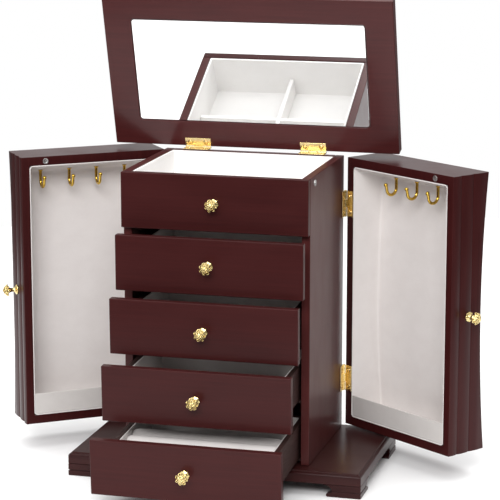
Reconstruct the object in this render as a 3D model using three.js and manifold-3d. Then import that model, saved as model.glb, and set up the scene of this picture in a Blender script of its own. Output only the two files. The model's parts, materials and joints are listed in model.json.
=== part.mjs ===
// Table-top jewelry armoire: a lidded, drawered cabinet on a moulded base with two
// deep side doors that open like wings. Millimetres, +Z up, +X right, +Y to the back.
// The cabinet frame used below has x = 0 on the centre line, y = 0 at the face of the
// drawer fronts and z = 0 on top of the base board. Parts that move are modelled closed
// and then opened by the groups that carry them.
import * as THREE from 'three';
import { mergeVertices } from 'three/addons/utils/BufferGeometryUtils.js';
import Module from 'manifold-3d';

const wasm = await Module();
wasm.setup();

// ---------- driving dimensions ----------
const CABINET_WIDTH = 180;
const CABINET_DEPTH = 147;
const CABINET_HEIGHT = 273.4;
const PANEL = 8; // thickness of the carcass boards
const GAP = 0.3; // glue line or rest gap between neighbouring pieces
const LIFT = 0.3; // the carcass stands this far above the base board

const FRONT_HEIGHT = 52.7; // one drawer front
const FRONT_PITCH = 54.7;
const FRONT_THICKNESS = 7.7;

const BOX_HALF_WIDTH = 79.2; // drawer box behind its front
const BOX_DEPTH = 130;
const BOX_DROP = 11.5; // box rim below the top of the front
const BOX_HEIGHT = 33;
const BOX_WALL = 5;
const BOX_BOTTOM = 3;

const DRAWERS = [ // from the top down: how far each one stands open, its knob below mid height
  { name: 'drawer_1', pull: 18.5, knobDrop: -1 },
  { name: 'drawer_2', pull: 37, knobDrop: 0.5 },
  { name: 'drawer_3', pull: 62, knobDrop: 0.8 },
  { name: 'drawer_4', pull: 96.5, knobDrop: 0.3 },
];
const SAG_RATE = 0.00063; // radians a drawer tips per millimetre it is pulled
const SAG_PIVOT_Y = 100; // where its runner frame rocks

const RUNNER_THICKNESS = 2.5;
const RUNNER_WIDTH = 10.5;
const RUNNER_FRONT_Y = 14;

const DOOR_GAP = 3.4; // between the cabinet's side and a closed door
const DOOR_WIDTH = 147.6;
const DOOR_THICKNESS = 46.2;
const DOOR_WAIST = 7; // how far the outer face curves in at mid height
const DOOR_BOTTOM = 2.8;
const DOOR_TOP = 271.5;
const DOOR_BACK_Y = 146.7;
const DOOR_FRAME = 8.5; // width of the frame round the recess
const DOOR_SKIN = 4.5; // thickness of the curved outer panel
const DOOR_CEILING_SLOPE = 12.5; // the recess is this much lower at its back
const DOOR_OPEN = { left: 53.2, right: 54.2 }; // degrees
const REED_LINES = [11.3, 26.5]; // grooves on the door's front edge, from its inner face

const PIN_X = CABINET_WIDTH / 2 + DOOR_GAP / 2;
const PIN_Y = CABINET_DEPTH + 0.5;
const DOOR_HINGE_HEIGHTS = { upper: 225.7, lower: 50.3 };

const HINGE_LENGTH = 26;
const LEAF_THICKNESS = 0.95;
const LEAF_WIDTH = 8.2;

const LID_WIDTH = 288;
const LID_LENGTH = 157.8;
const LID_THICKNESS = 12;
const LID_REST = 2.4; // closed lid above the rim, on its hinge leaves
const LID_PIN_Y = 149.94;
const LID_PIN_Z = CABINET_HEIGHT + LID_REST / 2;
const LID_BACK_Y = 149.24;
const LID_OPEN = 74.2; // degrees
const LID_HINGE_X = 58.5;

const MIRROR_HALF_WIDTH = 116.2;
const MIRROR_LENGTH = 105.7;
const MIRROR_FROM_HINGE = 26.9;
const MIRROR_THICKNESS = 3;

const BASE_HALF_WIDTH = 143.3;
const BASE_FRONT_Y = -8.3;
const BASE_BACK_Y = 155.3;
const BASE_THICKNESS = 11;
const FOOT_HEIGHT = 12;
const FOOT_BOARD = 9;

const KNOB_PROFILE = [ // radius, distance from the face
  [0, 0.3], [5, 0.3], [5, 1.3], [3.2, 2.6], [2.1, 5], [2.4, 7],
  [5.2, 9.6], [6.5, 11.8], [6.3, 13.4], [4, 15.2], [0, 15.8],
];
const DOOR_KNOB_Z = 136;
const DOOR_KNOB_X = 22.5; // from the door's inner face

const HOOKS = { // distance of each hook from the door's hinge edge
  right: [45, 74, 103],
  left: [121.5, 92, 64, 34.5],
};
const HOOK_DEPTH = 23; // stem behind the door's inner face
const HOOK_WIRE = 1.45; // radius
const HOOK_BEND = 6.2; // radius of the U
const HOOK_DROP = 10; // straight stem above the U

const POCKET_HEIGHT = 22;
const POCKET_THICKNESS = 1.2;

const MAGNET_Y = 24;
const MAGNET_Z = 267;
const MAGNET_RADIUS = 3;

const ROLL_COUNT = 4;
const ROLL_PITCH = 18;
const ROLL_RADIUS = 8.6;

// ---------- finishes ----------
const FINISH = {
  cherry: { color: 0x4a1e22, roughness: 0.35, metalness: 0 },
  box: { color: 0x33181a, roughness: 0.6, metalness: 0 },
  velvet: { color: 0xd8d2cc, roughness: 0.95, metalness: 0 },
  brass: { color: 0xc9982f, roughness: 0.25, metalness: 1 },
  steel: { color: 0x9a9a9c, roughness: 0.35, metalness: 1 },
  mirror: { color: 0xe8eaec, roughness: 0.03, metalness: 1 },
};

// ---------- shape helpers ----------
const deg = THREE.MathUtils.degToRad;

// A closed box between two values on each axis, given in either order.
function block([xa, xb], [ya, yb], [za, zb]) {
  const geometry = new THREE.BoxGeometry(Math.abs(xb - xa), Math.abs(yb - ya), Math.abs(zb - za));
  return geometry.translate((xa + xb) / 2, (ya + yb) / 2, (za + zb) / 2);
}

// An outline of [x, z] points extruded along Y.
function slabAlongY(points, [ya, yb]) {
  const shape = new THREE.Shape(points.map(([x, z]) => new THREE.Vector2(x, z)));
  const depth = Math.abs(yb - ya);
  const geometry = new THREE.ExtrudeGeometry(shape, { depth, bevelEnabled: false });
  return geometry.rotateX(Math.PI / 2).translate(0, Math.max(ya, yb), 0);
}

// An outline of [y, z] points extruded along X.
function slabAlongX(points, [xa, xb]) {
  const shape = new THREE.Shape(points.map(([y, z]) => new THREE.Vector2(y, z)));
  const depth = Math.abs(xb - xa);
  const geometry = new THREE.ExtrudeGeometry(shape, { depth, bevelEnabled: false });
  geometry.rotateX(Math.PI / 2).rotateZ(Math.PI / 2);
  return geometry.translate(Math.min(xa, xb), 0, 0);
}

function rod(radius, from, to, sides = 12) {
  const start = new THREE.Vector3(...from);
  const span = new THREE.Vector3(...to).sub(start);
  const geometry = new THREE.CylinderGeometry(radius, radius, span.length(), sides);
  geometry.translate(0, span.length() / 2, 0);
  const turn = new THREE.Quaternion().setFromUnitVectors(new THREE.Vector3(0, 1, 0), span.normalize());
  return geometry.applyQuaternion(turn).translate(...from);
}

function toSolid(geometry) {
  const bare = geometry.clone();
  bare.deleteAttribute('normal');
  bare.deleteAttribute('uv');
  const merged = mergeVertices(bare, 1e-4);
  return new wasm.Manifold(new wasm.Mesh({
    numProp: 3,
    vertProperties: new Float32Array(merged.attributes.position.array),
    triVerts: new Uint32Array(merged.index.array),
  }));
}

function toGeometry(solid) {
  const mesh = solid.getMesh();
  const geometry = new THREE.BufferGeometry();
  geometry.setAttribute('position', new THREE.BufferAttribute(mesh.vertProperties, 3));
  geometry.setIndex(new THREE.BufferAttribute(mesh.triVerts, 1));
  geometry.computeVertexNormals();
  return geometry;
}

// First shape joined with `add` and then cut by `cut`.
function carve(first, { add = [], cut = [] }) {
  let solid = toSolid(first);
  for (const piece of add) solid = solid.add(toSolid(piece));
  for (const piece of cut) solid = solid.subtract(toSolid(piece));
  return toGeometry(solid);
}

// ---------- placing ----------
const armoire = new THREE.Group();

function addMesh(parent, name, finish, geometry) {
  const mesh = new THREE.Mesh(geometry, new THREE.MeshStandardMaterial(FINISH[finish]));
  mesh.name = name;
  parent.add(mesh);
  return mesh;
}

// A group that turns about a pivot; what it holds is still drawn in the cabinet frame.
function turningGroup(parent, [x, y, z], rotate) {
  const pivot = new THREE.Group();
  pivot.position.set(x, y, z);
  rotate(pivot.rotation);
  const content = new THREE.Group();
  content.position.set(-x, -y, -z);
  pivot.add(content);
  parent.add(pivot);
  return content;
}

// ---------- knobs and hinges ----------
function knob(parent, name, x, faceY, z) {
  const profile = KNOB_PROFILE.map(([r, h]) => new THREE.Vector2(r, h));
  const geometry = new THREE.LatheGeometry(profile, 16);
  // The lathe's axis is +Y; the knob stands out towards -Y.
  geometry.rotateX(Math.PI);
  addMesh(parent, name, 'brass', geometry).position.set(x, faceY, z);
}

// Leaf of a butt hinge along local X, its pin on the X axis. The plate lies on the -Y side
// at height `level`; `outer` leaves carry the pin and the two outer knuckles.
function hingeLeaf(outer, knuckle, level) {
  const half = HINGE_LENGTH / 2;
  const third = HINGE_LENGTH / 6;
  const spans = outer ? [[-half, -third - 0.15], [third + 0.15, half]] : [[-third + 0.15, third - 0.15]];
  const plateEdge = -knuckle - 0.3;
  const height = [level - LEAF_THICKNESS / 2, level + LEAF_THICKNESS / 2];
  const plate = block([-half, half], [plateEdge - LEAF_WIDTH, plateEdge], height);
  const add = [];
  for (const span of spans) {
    add.push(rod(knuckle, [span[0], 0, 0], [span[1], 0, 0]));
    add.push(block(span, [plateEdge - 1, 0], height));
  }
  if (outer) add.push(rod(knuckle * 0.45, [-half + 1, 0, 0], [half - 1, 0, 0]));
  const cut = outer ? [] : [rod(knuckle * 0.62, [-half, 0, 0], [half, 0, 0])];
  return carve(plate, { add, cut });
}

// ---------- base and feet ----------
function baseBoard() {
  const step = 3; // the raised field stops this far inside the nosing
  const nosing = -1.3;
  const field = block(
    [-BASE_HALF_WIDTH + step, BASE_HALF_WIDTH - step],
    [BASE_FRONT_Y + step, BASE_BACK_Y - step],
    [nosing - 1, 0],
  );
  const board = block(
    [-BASE_HALF_WIDTH, BASE_HALF_WIDTH],
    [BASE_FRONT_Y, BASE_BACK_Y],
    [-BASE_THICKNESS, nosing],
  );
  addMesh(armoire, 'base_board', 'cherry', carve(board, { add: [field] }));
}

// Bracket foot outline along one leg: distance from the corner, height below the board.
function footOutline() {
  const top = -BASE_THICKNESS - GAP;
  const floor = -BASE_THICKNESS - FOOT_HEIGHT;
  const arch = [];
  const steps = 4;
  for (let i = 0; i <= steps; i += 1) { // hollow curve from the board down to the neck
    const t = (i / steps) * (Math.PI / 2);
    arch.push([27 + 9 * (1 - Math.sin(t)), top - 7.2 * (1 - Math.cos(t))]);
  }
  return [[0, top], ...arch, [31.5, -19.6], [33, -20.6], [33, -22], [32, floor], [0, floor]];
}

function foot(name, sideX, sideY) {
  const cornerX = sideX * BASE_HALF_WIDTH;
  const cornerY = sideY < 0 ? BASE_FRONT_Y : BASE_BACK_Y;
  const alongX = slabAlongY(
    footOutline().map(([d, z]) => [cornerX - sideX * d, z]),
    [cornerY, cornerY - sideY * FOOT_BOARD],
  );
  const alongY = slabAlongX(
    footOutline().map(([d, z]) => [cornerY - sideY * d, z]),
    [cornerX, cornerX - sideX * FOOT_BOARD],
  );
  const quirk = [-18.1, -17]; // shadow line above the foot's plinth band
  const reach = 40;
  const cut = [
    block([cornerX, cornerX - sideX * reach], [cornerY, cornerY - sideY * 0.8], quirk),
    block([cornerX, cornerX - sideX * 0.8], [cornerY, cornerY - sideY * reach], quirk),
  ];
  addMesh(armoire, name, 'cherry', carve(alongX, { add: [alongY], cut }));
}

// ---------- carcass ----------
const INNER_X = CABINET_WIDTH / 2 - PANEL;
const BACK_INNER_Y = CABINET_DEPTH - PANEL;
const COMPARTMENT_FLOOR_Z = 223.3;
const COMPARTMENT_FLOOR = 5;
const DIVIDER_BOARD = 4;
const DIVIDER_HEIGHT = 20;
const DIVIDER_CROSSING = [1, 73.5]; // near left corner of the crossing, x and y

function carcass() {
  const upright = [LIFT, CABINET_HEIGHT];
  const behindFront = FRONT_THICKNESS + GAP;
  for (const [name, side] of [['left', -1], ['right', 1]]) {
    const x = [side * INNER_X, (side * CABINET_WIDTH) / 2];
    addMesh(armoire, `side_panel_${name}`, 'cherry', block(x, [behindFront, CABINET_DEPTH], upright));
    const magnet = rod(
      MAGNET_RADIUS,
      [side * (CABINET_WIDTH / 2 + 0.15), MAGNET_Y, MAGNET_Z],
      [side * (CABINET_WIDTH / 2 + 1.25), MAGNET_Y, MAGNET_Z],
      16,
    );
    addMesh(armoire, `door_magnet_${name}`, 'steel', magnet);
  }
  const inside = [-INNER_X + GAP, INNER_X - GAP];
  addMesh(armoire, 'back_panel', 'cherry', block(inside, [BACK_INNER_Y, CABINET_DEPTH], upright));

  const frontX = [-CABINET_WIDTH / 2, CABINET_WIDTH / 2];
  const frontZ = [CABINET_HEIGHT - FRONT_HEIGHT, CABINET_HEIGHT];
  addMesh(armoire, 'top_front_panel', 'cherry', block(frontX, [0, FRONT_THICKNESS], frontZ));
  knob(armoire, 'top_front_knob', 0, 0, (frontZ[0] + frontZ[1]) / 2);

  const depth = [behindFront, BACK_INNER_Y - GAP];
  const floorZ = [COMPARTMENT_FLOOR_Z, COMPARTMENT_FLOOR_Z + COMPARTMENT_FLOOR];
  addMesh(armoire, 'compartment_floor', 'box', block(inside, depth, floorZ));
}

function compartment() {
  const wall = 2;
  const bottom = COMPARTMENT_FLOOR_Z + COMPARTMENT_FLOOR + GAP;
  const floor = bottom + 1.5;
  const outerX = INNER_X - GAP;
  const outerY = [FRONT_THICKNESS + GAP, BACK_INNER_Y - GAP];
  const innerX = outerX - wall;
  const innerY = [outerY[0] + wall, outerY[1] - wall];
  const tray = carve(block([-outerX, outerX], outerY, [bottom, CABINET_HEIGHT - 0.5]), {
    cut: [block([-innerX, innerX], innerY, [floor, CABINET_HEIGHT + 1])],
  });
  addMesh(armoire, 'compartment_lining', 'velvet', tray);

  const height = [floor + GAP, floor + DIVIDER_HEIGHT];
  const acrossY = [DIVIDER_CROSSING[1], DIVIDER_CROSSING[1] + DIVIDER_BOARD];
  const alongX = [DIVIDER_CROSSING[0], DIVIDER_CROSSING[0] + DIVIDER_BOARD];
  const across = block([-innerX + GAP, innerX - GAP], acrossY, height);
  const along = block(alongX, [innerY[0] + GAP, innerY[1] - GAP], height);
  addMesh(armoire, 'compartment_divider', 'velvet', carve(across, { add: [along] }));
}

// ---------- drawers ----------
function ringRolls(z0, top) {
  const y0 = FRONT_THICKNESS + GAP + BOX_WALL + 1.2;
  const outline = [[y0, z0]];
  const steps = 6;
  for (let roll = 0; roll < ROLL_COUNT; roll += 1) {
    const centre = y0 + ROLL_PITCH * (roll + 0.5);
    for (let i = 0; i <= steps; i += 1) {
      const t = Math.PI - (i / steps) * Math.PI;
      outline.push([centre + ROLL_RADIUS * Math.cos(t), top - ROLL_RADIUS + ROLL_RADIUS * Math.sin(t)]);
    }
  }
  outline.push([y0 + ROLL_PITCH * ROLL_COUNT, z0]);
  const halfWidth = BOX_HALF_WIDTH - BOX_WALL - 1.5;
  return slabAlongX(outline, [-halfWidth, halfWidth]);
}

function drawer({ name, pull, knobDrop }, index) {
  const frontTop = CABINET_HEIGHT - FRONT_PITCH * (index + 1);
  const frontBottom = frontTop - FRONT_HEIGHT;
  const boxTop = frontTop - BOX_DROP;
  const boxBottom = boxTop - BOX_HEIGHT;
  const runnerTop = boxBottom - GAP;
  const boxFront = FRONT_THICKNESS + GAP;
  const boxBack = boxFront + BOX_DEPTH;

  const tilt = pull * SAG_RATE;
  const rocking = turningGroup(armoire, [0, SAG_PIVOT_Y, runnerTop], (r) => r.set(tilt, 0, 0));
  const sliding = new THREE.Group();
  sliding.position.y = -pull;
  rocking.add(sliding);

  const runnerX = INNER_X - 2 * GAP;
  const runnerZ = [runnerTop - RUNNER_THICKNESS, runnerTop];
  const runner = carve(block([-runnerX, runnerX], [RUNNER_FRONT_Y, boxBack + 0.5], runnerZ), {
    cut: [block(
      [-runnerX + RUNNER_WIDTH, runnerX - RUNNER_WIDTH],
      [RUNNER_FRONT_Y - 1, boxBack - RUNNER_WIDTH],
      [runnerZ[0] - 1, runnerZ[1] + 1],
    )],
  });
  addMesh(rocking, `${name}_runner`, 'box', runner);

  const frontX = [-CABINET_WIDTH / 2, CABINET_WIDTH / 2];
  const front = block(frontX, [0, FRONT_THICKNESS], [frontBottom, frontTop]);
  addMesh(sliding, `${name}_front`, 'cherry', front);
  knob(sliding, `${name}_knob`, 0, 0, (frontBottom + frontTop) / 2 - knobDrop);

  const floor = boxBottom + BOX_BOTTOM;
  const innerX = BOX_HALF_WIDTH - BOX_WALL;
  const tray = carve(block([-BOX_HALF_WIDTH, BOX_HALF_WIDTH], [boxFront, boxBack], [boxBottom, boxTop]), {
    cut: [block([-innerX, innerX], [boxFront + BOX_WALL, boxBack - BOX_WALL], [floor, boxTop + 1])],
  });
  addMesh(sliding, `${name}_box`, 'box', tray);

  if (index === DRAWERS.length - 1) {
    addMesh(sliding, 'ring_roll_insert', 'velvet', ringRolls(floor + 1.5, boxTop - 3));
  }
}

// ---------- doors ----------
// Thickness of a door at a height: fullest at its ends, waisted in the middle.
function doorThickness(z) {
  const middle = (DOOR_TOP + DOOR_BOTTOM) / 2;
  const t = (z - middle) / (DOOR_TOP - middle);
  return DOOR_THICKNESS - DOOR_WAIST * (1 - t * t);
}

const INNER_FACE_X = CABINET_WIDTH / 2 + DOOR_GAP;
const RECESS_TOP = DOOR_TOP - DOOR_FRAME;
const RECESS_BOTTOM = DOOR_BOTTOM + DOOR_FRAME;

function doorCase(side) {
  const segments = 12;
  const shell = [[side * INNER_FACE_X, DOOR_TOP], [side * INNER_FACE_X, DOOR_BOTTOM]];
  for (let i = 0; i <= segments; i += 1) {
    const z = DOOR_BOTTOM + ((DOOR_TOP - DOOR_BOTTOM) * i) / segments;
    shell.push([side * (INNER_FACE_X + doorThickness(z)), z]);
  }
  const doorFront = DOOR_BACK_Y - DOOR_WIDTH;

  const backTop = RECESS_TOP - DOOR_CEILING_SLOPE;
  const recess = [[side * (INNER_FACE_X - 1), RECESS_TOP], [side * (INNER_FACE_X - 1), RECESS_BOTTOM]];
  for (let i = 0; i <= segments; i += 1) {
    const z = RECESS_BOTTOM + ((backTop - RECESS_BOTTOM) * i) / segments;
    recess.push([side * (INNER_FACE_X + doorThickness(z) - DOOR_SKIN), z]);
  }
  recess.push([side * INNER_FACE_X, RECESS_TOP]);

  const cut = [slabAlongY(recess, [doorFront + DOOR_FRAME, DOOR_BACK_Y - DOOR_FRAME])];
  for (const line of REED_LINES) { // V grooves, cut by square bars turned on their corner
    const groove = new THREE.BoxGeometry(1.6, 1.6, DOOR_TOP - DOOR_BOTTOM + 4).rotateZ(Math.PI / 4);
    cut.push(groove.translate(side * (INNER_FACE_X + line), doorFront, (DOOR_TOP + DOOR_BOTTOM) / 2));
  }
  return carve(slabAlongY(shell, [doorFront, DOOR_BACK_Y]), { cut });
}

// Height of the recess ceiling above the hook stems.
const HOOK_CEILING = RECESS_TOP - (DOOR_CEILING_SLOPE * HOOK_DEPTH) / (DOOR_THICKNESS - DOOR_SKIN);

function hook(side, fromHinge) {
  const x = side * (INNER_FACE_X + HOOK_DEPTH);
  const y = DOOR_BACK_Y - fromHinge;
  const top = HOOK_CEILING - 1.4;
  const bendZ = top - HOOK_DROP;
  const points = [new THREE.Vector3(x, y, top), new THREE.Vector3(x, y, (top + bendZ) / 2)];
  const steps = 8;
  for (let i = 0; i <= steps; i += 1) { // half circle towards the door's opening
    const t = (i / steps) * Math.PI;
    const reach = HOOK_BEND * (1 - Math.cos(t));
    points.push(new THREE.Vector3(x - side * reach, y, bendZ - HOOK_BEND * Math.sin(t)));
  }
  points.push(new THREE.Vector3(x - side * 2.1 * HOOK_BEND, y, bendZ + 4));
  const section = new THREE.Shape();
  section.absarc(0, 0, HOOK_WIRE, 0, 2 * Math.PI, false);
  const wire = new THREE.ExtrudeGeometry(section, {
    extrudePath: new THREE.CatmullRomCurve3(points),
    steps: 14,
    curveSegments: 4,
    bevelEnabled: false,
  });
  const end = points[points.length - 1];
  const tip = new THREE.SphereGeometry(HOOK_WIRE * 1.35, 8, 6).translate(end.x, end.y, end.z);
  return carve(wire, { add: [tip] });
}

function door(name, side) {
  const open = side * deg(DOOR_OPEN[name]);
  const swing = turningGroup(armoire, [side * PIN_X, PIN_Y, 0], (r) => r.set(0, 0, open));
  addMesh(swing, `${name}_door_case`, 'cherry', doorCase(side));
  knob(swing, `${name}_door_knob`, side * (INNER_FACE_X + DOOR_KNOB_X), DOOR_BACK_Y - DOOR_WIDTH, DOOR_KNOB_Z);

  const pocketX = [side * (INNER_FACE_X + GAP), side * (INNER_FACE_X + GAP + POCKET_THICKNESS)];
  const pocketY = [DOOR_BACK_Y - DOOR_WIDTH + DOOR_FRAME + GAP, DOOR_BACK_Y - DOOR_FRAME - GAP];
  const pocketZ = [RECESS_BOTTOM + GAP, RECESS_BOTTOM + POCKET_HEIGHT];
  addMesh(swing, `${name}_door_pocket`, 'velvet', block(pocketX, pocketY, pocketZ));

  HOOKS[name].forEach((fromHinge, i) => {
    addMesh(swing, `${name}_door_hook_${i + 1}`, 'brass', hook(side, fromHinge));
  });

  for (const [place, z] of Object.entries(DOOR_HINGE_HEIGHTS)) {
    const knuckle = 1.4;
    const offset = (DOOR_GAP / 2 - 0.2 - LEAF_THICKNESS / 2) * side;
    for (const [part, parent, level, outer] of [
      ['cabinet_leaf', armoire, -offset, true],
      ['door_leaf', swing, offset, false],
    ]) {
      // Local X stands up and local Z points across the gap, towards the door on the right.
      const leaf = hingeLeaf(outer, knuckle, -level).rotateY(-Math.PI / 2);
      addMesh(parent, `${name}_${place}_hinge_${part}`, 'brass', leaf).position.set(side * PIN_X, PIN_Y, z);
    }
  }
}

// ---------- lid ----------
function roundedPlate(halfWidth, [ya, yb], radius, [za, zb]) {
  const shape = new THREE.Shape();
  shape.moveTo(-halfWidth + radius, ya);
  shape.absarc(halfWidth - radius, ya + radius, radius, -Math.PI / 2, 0, false);
  shape.absarc(halfWidth - radius, yb - radius, radius, 0, Math.PI / 2, false);
  shape.absarc(-halfWidth + radius, yb - radius, radius, Math.PI / 2, Math.PI, false);
  shape.absarc(-halfWidth + radius, ya + radius, radius, Math.PI, 1.5 * Math.PI, false);
  const geometry = new THREE.ExtrudeGeometry(shape, {
    depth: zb - za, curveSegments: 3, bevelEnabled: false,
  });
  return geometry.translate(0, 0, za);
}

function lid() {
  const swing = turningGroup(armoire, [0, LID_PIN_Y, LID_PIN_Z], (r) => r.set(-deg(LID_OPEN), 0, 0));
  const under = CABINET_HEIGHT + LID_REST;
  const mirrorBack = LID_BACK_Y - MIRROR_FROM_HINGE;
  const mirrorFront = mirrorBack - MIRROR_LENGTH;
  const slab = block(
    [-LID_WIDTH / 2, LID_WIDTH / 2],
    [LID_BACK_Y - LID_LENGTH, LID_BACK_Y],
    [under, under + LID_THICKNESS],
  );
  const rebate = roundedPlate(
    MIRROR_HALF_WIDTH + GAP,
    [mirrorFront - GAP, mirrorBack + GAP],
    3.3,
    [under - 1, under + MIRROR_THICKNESS + 2 * GAP],
  );
  addMesh(swing, 'lid_frame', 'cherry', carve(slab, { cut: [rebate] }));
  const glass = roundedPlate(
    MIRROR_HALF_WIDTH,
    [mirrorFront, mirrorBack],
    3,
    [under + GAP, under + GAP + MIRROR_THICKNESS],
  );
  addMesh(swing, 'lid_mirror', 'mirror', glass);

  const knuckle = 1.2;
  const offset = LID_REST / 2 - 0.2 - LEAF_THICKNESS / 2;
  for (const [name, side] of [['left', -1], ['right', 1]]) {
    for (const [part, parent, level, outer] of [
      ['cabinet_leaf', armoire, -offset, true],
      ['lid_leaf', swing, offset, false],
    ]) {
      const leaf = hingeLeaf(outer, knuckle, level);
      addMesh(parent, `lid_${name}_hinge_${part}`, 'brass', leaf)
        .position.set(side * LID_HINGE_X, LID_PIN_Y, LID_PIN_Z);
    }
  }
}

// ---------- the whole armoire ----------
baseBoard();
for (const [end, sideY] of [['front', -1], ['rear', 1]]) {
  for (const [name, sideX] of [['left', -1], ['right', 1]]) {
    foot(`foot_${end}_${name}`, sideX, sideY);
  }
}
carcass();
compartment();
DRAWERS.forEach(drawer);
door('left', -1);
door('right', 1);
lid();

// The part's origin is the bottom centre of the whole armoire as it stands open.
armoire.updateMatrixWorld(true);
const bounds = new THREE.Box3().setFromObject(armoire, true);
const middle = bounds.getCenter(new THREE.Vector3());
armoire.position.set(-middle.x, -middle.y, -bounds.min.z);
armoire.updateMatrixWorld(true);

export default armoire;
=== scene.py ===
"""Table-top jewelry armoire in dark cherry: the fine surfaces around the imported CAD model.

Everything that moves is drawn shut, in the frame of the closed armoire, and then carried by
AT_REST to where it stands open. Metres, +Z up, +X right, +Y to the back.
"""

import json
import math

import bmesh
import bpy
from mathutils import Matrix, Vector, noise

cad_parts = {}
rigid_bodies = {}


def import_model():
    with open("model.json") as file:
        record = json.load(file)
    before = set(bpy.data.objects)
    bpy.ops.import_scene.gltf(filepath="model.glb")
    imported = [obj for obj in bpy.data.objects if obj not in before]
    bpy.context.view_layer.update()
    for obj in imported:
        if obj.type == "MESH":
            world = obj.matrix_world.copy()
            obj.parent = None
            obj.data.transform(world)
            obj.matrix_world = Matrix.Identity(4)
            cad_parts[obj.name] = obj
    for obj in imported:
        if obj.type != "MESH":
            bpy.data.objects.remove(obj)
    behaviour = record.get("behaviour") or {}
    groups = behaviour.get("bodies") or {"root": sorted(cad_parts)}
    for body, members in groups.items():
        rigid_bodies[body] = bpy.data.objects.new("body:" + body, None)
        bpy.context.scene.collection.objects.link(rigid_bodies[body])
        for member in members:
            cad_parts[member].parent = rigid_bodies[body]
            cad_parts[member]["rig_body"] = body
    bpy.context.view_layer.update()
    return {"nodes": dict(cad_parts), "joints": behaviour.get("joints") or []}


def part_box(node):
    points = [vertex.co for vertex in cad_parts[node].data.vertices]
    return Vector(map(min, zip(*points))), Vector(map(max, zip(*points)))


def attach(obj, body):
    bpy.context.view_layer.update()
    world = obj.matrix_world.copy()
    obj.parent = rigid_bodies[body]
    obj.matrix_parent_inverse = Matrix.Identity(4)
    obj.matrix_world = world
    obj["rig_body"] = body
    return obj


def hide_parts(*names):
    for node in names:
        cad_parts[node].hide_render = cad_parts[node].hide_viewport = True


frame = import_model()

MM = 0.001
DRAWERS = ("drawer_1", "drawer_2", "drawer_3", "drawer_4")
SIDES = {"left": -1, "right": 1}

# ---------- how the frame stands open ----------


def joint(name):
    return next(j for j in frame["joints"] if j["name"] == name)


def swung_open(name):
    """Carries a piece drawn shut to where its hinge stands open."""
    hinge = joint(name)
    pivot = Vector(hinge["pos_m"])
    turn = Matrix.Rotation(-math.radians(hinge["range_deg"][0]), 4, Vector(hinge["axis"]))
    return Matrix.Translation(pivot) @ turn @ Matrix.Translation(-pivot)


def pulled_out(drawer, slide_too=True):
    """Carries a drawer drawn shut to where it hangs, tipped and pulled; its runner only tips."""
    slide = joint(f"{drawer}_slide")
    pivot = Vector(joint(f"{drawer}_sag")["pos_m"])
    tip = math.asin(-slide["axis"][2])
    out = Vector((0, slide["range_m"][0] if slide_too else 0, 0))
    return Matrix.Translation(pivot) @ Matrix.Rotation(tip, 4, "X") @ Matrix.Translation(out - pivot)


AT_REST = {"cabinet": Matrix.Identity(4), "lid": swung_open("lid_hinge")}
for door in SIDES:
    AT_REST[f"{door}_door"] = swung_open(f"{door}_door_hinge")
for drawer in DRAWERS:
    AT_REST[drawer] = pulled_out(drawer)
    AT_REST[f"{drawer}_runner"] = pulled_out(drawer, slide_too=False)


def body_of(node):
    return frame["nodes"][node]["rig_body"]


def shut_box(node):
    """Lowest and highest corner of a CAD node with its body drawn shut."""
    back = AT_REST[body_of(node)].inverted()
    points = [back @ v.co for v in frame["nodes"][node].data.vertices]
    low = Vector([min(p[i] for p in points) for i in range(3)])
    high = Vector([max(p[i] for p in points) for i in range(3)])
    return low, high


# ---------- material helpers ----------


def new_finish(name):
    material = bpy.data.materials.new(name)
    material.use_nodes = True
    return material, material.node_tree, material.node_tree.nodes["Principled BSDF"]


def add(tree, kind, inputs=None, **settings):
    """A node with its settings, and its inputs given as values or as sockets to link."""
    made = tree.nodes.new(kind)
    for key, value in settings.items():
        setattr(made, key, value)
    for key, value in (inputs or {}).items():
        if isinstance(value, bpy.types.NodeSocket):
            tree.links.new(value, made.inputs[key])
        else:
            made.inputs[key].default_value = value
    return made


def object_place(tree):
    return add(tree, "ShaderNodeTexCoord").outputs["Object"]


def cloudy(tree, place, per_metre, detail=3.0, rough=0.55):
    """Noise with that many features per metre, one number or one for each axis."""
    scale = per_metre if hasattr(per_metre, "__len__") else (per_metre,) * 3
    mapped = add(tree, "ShaderNodeMapping", {"Vector": place, "Scale": scale}).outputs["Vector"]
    made = add(tree, "ShaderNodeTexNoise", {
        "Vector": mapped, "Scale": 1.0, "Detail": detail, "Roughness": rough,
    })
    return made.outputs["Fac"]


def ramp(tree, factor, *stops):
    """Colour ramp through (place, colour) stops."""
    made = add(tree, "ShaderNodeValToRGB", {"Fac": factor})
    elements = made.color_ramp.elements
    while len(elements) < len(stops):
        elements.new(0.5)
    for element, (place, colour) in zip(elements, stops):
        element.position = place
        element.color = (*colour, 1.0)
    return made.outputs["Color"]


def blended(tree, factor, a, b, mode="MIX"):
    made = add(tree, "ShaderNodeMix", {"Factor": factor}, data_type="RGBA", blend_type=mode)
    for index, value in ((6, a), (7, b)):
        if isinstance(value, bpy.types.NodeSocket):
            tree.links.new(value, made.inputs[index])
        else:
            made.inputs[index].default_value = (*value, 1.0)
    return made.outputs[2]


def spread(tree, factor, low, high):
    """A 0-to-1 value stretched to run from low to high."""
    return add(tree, "ShaderNodeMapRange", {
        "Value": factor, "From Min": 0.25, "From Max": 0.75, "To Min": low, "To Max": high,
    }).outputs["Result"]


def bumps(tree, shader, *layers):
    """Bump layers of (height socket, strength, depth in metres), one over the other."""
    normal = None
    for height, strength, depth in layers:
        inputs = {"Height": height, "Strength": strength, "Distance": depth}
        if normal:
            inputs["Normal"] = normal
        normal = add(tree, "ShaderNodeBump", inputs).outputs["Normal"]
    tree.links.new(normal, shader.inputs["Normal"])


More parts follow.
